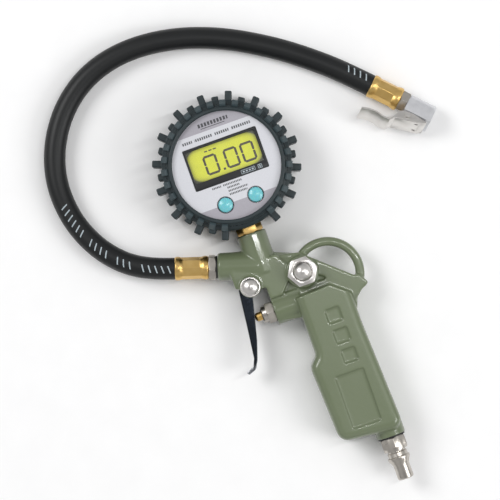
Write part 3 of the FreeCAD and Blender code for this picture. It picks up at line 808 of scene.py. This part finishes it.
GUN_FERRULE = GUN_MOUTH - 5.3
gun_sleeve = lathe("gun_ferrule", ferrule_profile(GUN_FERRULE, 6.85, 6.2, 2.6), barrel_matrix(5.3), 128,
                   crimped(3.7, GUN_FERRULE - 3.7, 8, 0.55), closed=True)
gun_ferrule = piece("gun_ferrule", gun_sleeve, "brass", "body", ["ferrule_gun"])
chuck_sleeve = lathe("chuck_ferrule", ferrule_profile(18.7, 6.95, 6.4, 2.2), chuck_matrix(0.05), 128,
                     crimped(3.3, 18.7 - 3.3, 8, 0.6, math.radians(22)), closed=True)
chuck_ferrule = piece("chuck_ferrule", chuck_sleeve, "brass", "body", ["ferrule_chuck"])

print("ferrules made")

# %% [markdown]
# ## Turned metal on the gun
# A domed button sits in the middle of the bleed valve's hexagon, and the trigger turns on a domed
# screw. Both are lathe work, and so is the brass plunger that the trigger pushes.


# %% Bleed valve and pivot screw
def upright(x, y, z):
    return axis_matrix(hub(x, y, z), UP, EAST)


def dome_profile(radius, base, height, count=10):
    """From the rim up over a spherical crown to the pole."""
    ball = (radius ** 2 + height ** 2) / (2 * height)
    widest = math.asin(min(1.0, radius / ball)) if height <= radius else math.pi / 2
    top = base + height - ball
    return [(top + ball * math.cos(a), ball * math.sin(a)) for a in steps_between(widest, 0, count)]


knob = [(9.6, 0), (9.6, 1.6), (26.9, 1.6), (26.9, 4.9), (27.2, 5.2), (28.7, 5.2)]
knob_mesh = lathe("bleed_knob", knob + dome_profile(5.2, 28.9, 3.2), upright(*BLEED, 0))
piece("bleed_knob", knob_mesh, "chrome", "bleed_button", ["bleed_button"])

screw = [(0.7, 0), (0.7, 2.5), (22.8, 2.5), (22.8, 4.6), (23.1, 5.0), (23.6, 5.0)]
screw_mesh = lathe("pivot_screw", screw + dome_profile(5.0, 23.8, 2.4), upright(*PIVOT, 0))
piece("pivot_screw", screw_mesh, "chrome", "body", ["trigger_pivot_screw"])

collar = rounded([(22.0, 2.5), (22.0, 5.6), (22.3, 5.9), (22.5, 5.9), (22.8, 5.6), (22.8, 2.5)], 0.2)
washer_mesh = lathe("pivot_washer", collar, upright(*PIVOT, 0), closed=True)
piece("pivot_washer", washer_mesh, "chrome", "body", ["trigger_pivot_washer"])
print("knob, pivot screw and washer made")

# %% [markdown]
# The plunger is a brass rod in the air valve. Its tip meets the trigger, and its head is inside the gun.

# %% Valve plunger
valve_axis = axis_matrix(hub(0, VALVE_Y, MID), EAST)
tip = [(-14.5, 0), (-14.4, 1.2), (-14.0, 1.9), (-13.2, 2.6)]
rod = rounded(tip + [(3.2, 2.6), (3.2, 1.3), (12.2, 1.3), (12.2, 0)], 0.25)
piece("plunger", lathe("plunger", rod, valve_axis, 72), "brass", "valve_stem", ["valve_plunger"])
print("plunger made")

# %% [markdown]
# ## Rubber boot
# Round the gauge, blocks repeat: teeth on the boot's side and pads on its lip. One Geometry Nodes group
# sets any block round a centre, with named inputs for the count, the angles and a gap for the stem.


# %% A ring of blocks, by Geometry Nodes
class Pattern(Graph):
    """A Geometry Nodes group whose inputs have names."""

    def __init__(self, name, inputs):
        self.tree = bpy.data.node_groups.new(name, "GeometryNodeTree")
        face = self.tree.interface
        face.new_socket(name="Geometry", in_out="INPUT", socket_type="NodeSocketGeometry")
        self.keys = {}
        for label, kind in inputs.items():
            socket = face.new_socket(name=label, in_out="INPUT", socket_type="NodeSocket" + kind)
            self.keys[label] = socket.identifier
        face.new_socket(name="Geometry", in_out="OUTPUT", socket_type="NodeSocketGeometry")
        self.entry = self.tree.nodes.new("NodeGroupInput")

    def given(self, label):
        return Value(self, self.entry.outputs[label])

    def finish(self, geometry, material):
        real = self.node("GeometryNodeRealizeInstances", None, {0: geometry})
        dressed = self.node("GeometryNodeSetMaterial", None, {"Geometry": real, "Material": material})
        last = self.tree.nodes.new("NodeGroupOutput")
        self.put(last.inputs[0], dressed)

    def run(self, mesh, **values):
        """The pattern made from that mesh, as a new mesh."""
        holder = bpy.data.objects.new("pattern", mesh)
        bpy.context.scene.collection.objects.link(holder)
        modifier = holder.modifiers.new("pattern", "NODES")
        modifier.node_group = self.tree
        for label, value in values.items():
            modifier[self.keys[label.replace("_", " ")]] = value
        holder.update_tag()
        graph = bpy.context.evaluated_depsgraph_get()
        result = bpy.data.meshes.new_from_object(holder.evaluated_get(graph))
        bpy.data.objects.remove(holder)
        return result


def ring_pattern():
    """Copies of a block round a centre. Angles are radians, and a gap may be left in the ring."""
    p = Pattern("ring_of_blocks", {"Count": "Int", "First": "Float", "Step": "Float", "Gap at": "Float",
                                   "Gap half": "Float", "Centre": "Vector", "Material": "Material"})
    angle = p.node("GeometryNodeInputIndex") * p.given("Step") + p.given("First")
    clear = (angle - p.given("Gap at")).maths("COSINE") < p.given("Gap half").maths("COSINE")
    points = p.node("GeometryNodePoints", None, {"Count": p.given("Count")})
    turn = p.node("ShaderNodeCombineXYZ", None, {2: angle})
    placed = p.node("GeometryNodeInstanceOnPoints", None,
                    {"Points": points, "Selection": clear, "Instance": p.given("Geometry"), "Rotation": turn})
    moved = p.node("GeometryNodeTransform", None, {"Geometry": placed, "Translation": p.given("Centre")})
    p.finish(moved, p.given("Material"))
    return p


RING = ring_pattern()


def block(name, low, high, edge):
    """A rounded brick between two corners, in millimetres."""
    work = bmesh.new()
    bmesh.ops.create_cube(work, size=1)
    middle = (Vector(low) + Vector(high)) / 2 * MM
    size = (Vector(high) - Vector(low)) * MM
    for vert in work.verts:
        vert.co = Vector([m + s * c for m, s, c in zip(middle, size, vert.co)])
    bmesh.ops.bevel(work, geom=work.edges[:], offset=edge * MM, segments=3, profile=0.5, affect="EDGES")
    bmesh.ops.recalc_face_normals(work, faces=work.faces)
    mesh = bpy.data.meshes.new(name)
    work.to_mesh(mesh)
    work.free()
    return mesh


def together(name, *meshes):
    work = bmesh.new()
    for mesh in meshes:
        work.from_mesh(mesh)
    whole = bpy.data.meshes.new(name)
    work.to_mesh(whole)
    work.free()
    return whole


def soft_moulding(mesh, voxel, smoothing, ratio):
    """One skin over everything in the mesh, with its corners rounded as in a mould."""
    mesh.materials.clear()
    skin = evaluated(mesh, ("REMESH", {"mode": "VOXEL", "voxel_size": voxel}),
                     ("SMOOTH", {"factor": 0.5, "iterations": smoothing}),
                     ("DECIMATE", {"ratio": ratio}))
    for polygon in skin.polygons:
        polygon.use_smooth = True
    return skin


# %% [markdown]
# The guard is one moulding: a ring with a rolled lip, and stub teeth that take the knocks. The ring is
# lathe work, and every other tooth is shorter. Voxels then weld them, which gives each tooth the small
# fillet a mould leaves at its foot.

# %% Boot with its teeth
BOOT_R = 37.5
BOOT_TOP = 33.5
CASE_R = 34.8
TOOTH_TURN = math.radians(91.8)
TOOTH_STEP = math.radians(11.25)
TOOTH_ROOT = 36.0
TOOTH_TIPS = (43.0, 40.2)
STEM_GAP = {"Gap at": math.radians(270), "Gap half": math.radians(15)}
STEM_HOLE_R = 8.2
gauge_axis = axis_matrix(hub(*GAUGE), UP, EAST)


def ring(mesh, count, first, step):
    """The block set round the gauge, with the stem's side left free."""
    return RING.run(mesh, Count=count, First=first, Step=step, Centre=hub(*GAUGE),
                    Material=FINISH["boot_rubber"].material, **STEM_GAP)


outside = [(0, 25.0), (0, 35.8), (1.7, BOOT_R), (27.0, BOOT_R), (28.4, 36.9), (30.2, 34.6), (30.9, 33.9)]
lip = [(BOOT_TOP - 0.3, 33.6), (BOOT_TOP, 33.2), (BOOT_TOP, 31.6), (32.7, 31.3), (31.25, 31.3)]
inside_wall = [(31.25, CASE_R + 0.1), (2.5, CASE_R + 0.1), (2.5, 25.0)]
guard = lathe("guard", outside + lip + inside_wall, gauge_axis, 192, closed=True)
teeth = []
for k, tip in enumerate(TOOTH_TIPS):
    stub = block("tooth", (TOOTH_ROOT, -2.0, 4.0), (tip, 2.0, 27.5), 0.45)
    teeth.append(ring(stub, 16, TOOTH_TURN + TOOTH_STEP * k, 2 * TOOTH_STEP))
stem_axis = axis_matrix(hub(GAUGE[0], 0, MID), NORTH)
stem_hole = lathe("stem_hole", [(15, 0), (15, STEM_HOLE_R), (31, STEM_HOLE_R), (31, 0)], stem_axis)
boot_mesh = together("boot", guard, *teeth)
boot_skin = soft_moulding(boot_mesh, 0.00042, 2, 0.4)
cutter = bpy.data.objects.new("stem_hole", stem_hole)
bpy.context.scene.collection.objects.link(cutter)
cut = ("BOOLEAN", {"operation": "DIFFERENCE", "object": cutter, "solver": "EXACT"})
boot_skin = evaluated(boot_skin, cut)
bpy.data.objects.remove(cutter)
piece("boot", boot_skin, "boot_rubber", "body", ["gauge_boot"])
print("boot triangles:", sum(len(p.vertices) - 2 for p in boot_skin.polygons))

# %% [markdown]
# Round the lip, the mould also has small grip pads, a little further apart than the teeth. They are
# the same pattern with another block, tipped to lie on the lip's slope, and painted paler for the light on
# their tops.

# %% Grip pads on the lip
PAD_FIRST = math.radians(97.7)
PAD_COUNT = 31
PAD_HEIGHT = 1.5
pad = block("pad", (-2.0, -1.8, -3.0), (2.1, 1.8, PAD_HEIGHT), 0.3)
slope = math.atan2(BOOT_TOP - 28.4, BOOT_R - 33.5)
pad.transform(Matrix.Translation(Vector((35.5, 0, 30.95)) * MM) @ Matrix.Rotation(slope, 4, "Y"))
# the pads get the paler rubber, painted light for their lit tops
pads = piece("lip_pads", ring(pad, PAD_COUNT, PAD_FIRST, 2 * math.pi / PAD_COUNT), "lit_pad_rubber")
print("pads:", PAD_COUNT)

# %% [markdown]
# ## Moulded, cast and pressed parts
# What is left keeps the CAD shape. The trigger is a casting too, so it is remade from voxels like the
# gun, only finer, because it is thin.

# %% Trigger
cast_trigger = soft_moulding(merged_copy("trigger"), 0.00028, 6, 0.6)
piece("trigger_lever", cast_trigger, "blued_steel", "trigger", ["trigger"])
print("trigger triangles:", sum(len(p.vertices) - 2 for p in cast_trigger.polygons))

# %% [markdown]
# Sheet, turned nuts and plastic only need their corners broken, because a bevelled edge is what catches
# the light. Each row gives the piece's name, the bevel's width and the body it rides on.

# %% Chuck, lever and plastics
EDGES = {
    "chuck_body": ("cast_chuck", 0.00045, "body"),
    "chuck_lever": ("thumb_lever", 0.0002, "chuck_lever"),
    "chuck_lever_pin": ("lever_pin", 0.00015, "body"),
    "bleed_bush": ("bleed_hexagon", 0.00022, "body"),
    "hose_nipple_gun": ("gun_nipple", 0.00018, "body"),
    "hose_nipple_chuck": ("chuck_nipple", 0.00015, "body"),
    "trigger_pivot_nut": ("pivot_nut", 0.00015, "body"),
    "inlet_plug": ("coupler_nose", 0.0002, "body"),
    "valve_gland_nut": ("gland_nut", 0.00018, "body"),
    "gauge_stem": ("gauge_port_stem", 0.00018, "body"),
    "gauge_case": ("rear_case", 0.0004, "body"),
    "battery_cover": ("cell_cover", 0.0003, "body"),
    "gauge_bezel": ("front_case", 0.0003, "body"),
    "lcd_frame": ("display_frame", 0.0002, "body"),
}
for node, (name, width, body) in EDGES.items():
    piece(name, broken_edges(node, width), SLOT[node], body, [node])
print("edges broken on", len(EDGES), "pieces")

# %% [markdown]
# The buttons are soft caps: a flange held under the face, a straight side and a shallow dome to press.


# %% Push buttons
def button_mesh(name):
    """A cap with a shallow dome and a rounded rim, on its flange and stem."""
    x, y = BUTTONS[name]
    stem_and_flange = [(27.1, 0), (27.1, 1.5), (27.6, 1.5), (27.6, 5.6), (28.5, 5.6)]
    side = [(28.5, 4.2), (31.2, 4.2), (31.55, 4.08)]
    return lathe(name + "_cap", stem_and_flange + side + dome_profile(3.85, 31.75, 1.0), upright(x, y, 0), 72)


for node in BUTTONS:
    piece(node + "_cap", button_mesh(node), "button_blue", node, [node])

# %% [markdown]
# ## Display segments
# The display shows a resting reading. Each digit is made of thin bars with pointed ends, and a digit is
# just the list of bars that are dark. A zero needs six of them.

# %% Segments
SEGMENT_Z = 29.42
SEGMENT = 1.32
BARS = {"a": (0, 2, 1, 2), "b": (1, 1, 1, 2), "c": (1, 0, 1, 1), "d": (0, 0, 1, 0), "e": (0, 0, 0, 1),
        "f": (0, 1, 0, 2)}
ZERO = "abcdef"
DIGIT_LEFTS = (-11.7, 0.6, 10.6)
DIGIT_LOW = 59.6
DIGIT_WIDTH = 6.8
DIGIT_HEIGHT = 10.2


def bar(work, start, end):
    """One pointed bar between two ends of a digit's grid."""
    along = (end - start).normalized()
    across = Vector((-along.y, along.x)) * SEGMENT / 2
    trim = along * 0.05
    tip = along * (SEGMENT / 3 + 0.05)
    outline = [start + trim, start + tip - across, end - tip - across, end - trim, end - tip + across,
               start + tip + across]
    work.faces.new([work.verts.new(hub(p.x, p.y, SEGMENT_Z)) for p in outline])


def digit(work, low, width, height, bars):
    for name in bars:
        x0, y0, x1, y1 = BARS[name]
        start = Vector((low[0] + x0 * width, low[1] + y0 * height / 2))
        end = Vector((low[0] + x1 * width, low[1] + y1 * height / 2))
        bar(work, start, end)


def patch(work, low, high, z=SEGMENT_Z):
    corners = ((low[0], low[1]), (high[0], low[1]), (high[0], high[1]), (low[0], high[1]))
    work.faces.new([work.verts.new(hub(x, y, z)) for x, y in corners])


segments = bmesh.new()
for left in DIGIT_LEFTS:
    digit(segments, (left, DIGIT_LOW), DIGIT_WIDTH, DIGIT_HEIGHT, ZERO)
patch(segments, (-2.5, 59.2), (-1.2, 60.5))
for left in (-10.0, -7.4, -4.8):
    patch(segments, (left, 72.4), (left + 1.9, 73.1))
FRAME_MARK_Z = 31.33


def outlined(work, low, high, stroke, z):
    """A thin rectangle drawn by its four sides."""
    sides = (((low[0], low[1]), (high[0], low[1] + stroke)), ((low[0], high[1] - stroke), high),
             ((low[0], low[1] + stroke), (low[0] + stroke, high[1] - stroke)),
             ((high[0] - stroke, low[1] + stroke), (high[0], high[1] - stroke)))
    for a, b in sides:
        patch(work, a, b, z)


frame_marks = bmesh.new()
outlined(frame_marks, (6.2, 53.4), (14.6, 55.7), 0.25, FRAME_MARK_Z)
for left in (7.2, 9.0, 10.8, 12.6):
    patch(frame_marks, (left, 54.1), (left + 1.1, 55.0), FRAME_MARK_Z)
outlined(frame_marks, (16.4, 53.4), (18.8, 55.7), 0.3, FRAME_MARK_Z)
patch(frame_marks, (17.3, 54.0), (17.9, 55.1), FRAME_MARK_Z)
frame_print = piece("frame_marks", ink_film("frame_marks", frame_marks, 0.00004, 1.0), "mark_ink")
segment_mesh = ink_film("segments", segments, 0.00004, 1.0)


def segment_ink():
    f = Finish("segment_ink")
    shade_of = f.noise(0.003, 2)
    f.set(Base_Color=f.mix(shade_of, rgb("2A2209"), rgb("3A3010")), Roughness=f.between(shade_of, 0.3, 0.4))
    return f


FINISH["segment_ink"] = segment_ink()
display = piece("display_segments", segment_mesh, "segment_ink")
print("display drawn")

# %% [markdown]

# %% [markdown]
# ## Bench and light
# A pale bench under a soft room of light. A large softbox high on the upper left gives the boot its
# sheen, one low on the right fills the paint, and a narrow strip nearly overhead draws the fine line
# that runs down the gauge port.


# %% Floor, world, lamps
def bench_white():
    f = Finish("bench_white")
    tooth_of_paper = f.noise(0.02, 3)
    f.set(Base_Color=f.mix(tooth_of_paper, rgb("F4F4F4"), rgb("FAFAFA")),
          Roughness=f.between(tooth_of_paper, 0.7, 0.8))
    return f


floor_mesh = bpy.data.meshes.new("floor")
floor_mesh.from_pydata([(-3, -3, 0), (3, -3, 0), (3, 3, 0), (-3, 3, 0)], [], [(0, 1, 2, 3)])
floor = bpy.data.objects.new("floor", floor_mesh)
bpy.context.scene.collection.objects.link(floor)
floor_mesh.materials.append(bench_white().material)


class Room(Graph):
    """The surroundings: bright walls at half height, dimmer straight above and near the bench."""

    def __init__(self, overhead, wall, low):
        self.world = bpy.data.worlds.new("soft_room")
        self.world.use_nodes = True
        self.tree = self.world.node_tree
        split = self.node("ShaderNodeSeparateXYZ", None, {0: self.node("ShaderNodeTexCoord", out=0)})
        height = Value(self, split.socket.node.outputs[2])
        stops = [(0.0, low), (0.35, wall), (0.75, wall), (1.0, overhead)]
        grey = self.node("ShaderNodeValToRGB", {"stops": stops}, {0: height})
        self.put(self.tree.nodes["Background"].inputs[0], grey)
        bpy.context.scene.world = self.world


Room(overhead=(0.24, 0.24, 0.25, 1), wall=(0.56, 0.56, 0.56, 1), low=(0.20, 0.20, 0.21, 1))
bpy.context.scene.view_settings.view_transform = "Standard"

AIM = hub(0, 30, 15)


def softbox(name, offset, size, power):
    """An area lamp aimed at the tool from an offset in metres."""
    data = bpy.data.lights.new(name, "AREA")
    data.shape = "RECTANGLE"
    data.size, data.size_y = size
    data.energy = power
    lamp = bpy.data.objects.new(name, data)
    bpy.context.scene.collection.objects.link(lamp)
    lamp.location = AIM + Vector(offset)
    lamp.rotation_euler = (-Vector(offset)).to_track_quat("-Z", "Y").to_euler()


softbox("softbox_left", (-0.9, 0.9, 1.3), (0.8, 0.8), 13)
softbox("softbox_right", (1.1, -0.7, 1.0), (0.7, 0.7), 8)
softbox("strip_over", (0.45, 0.0, 1.35), (0.03, 0.9), 4)
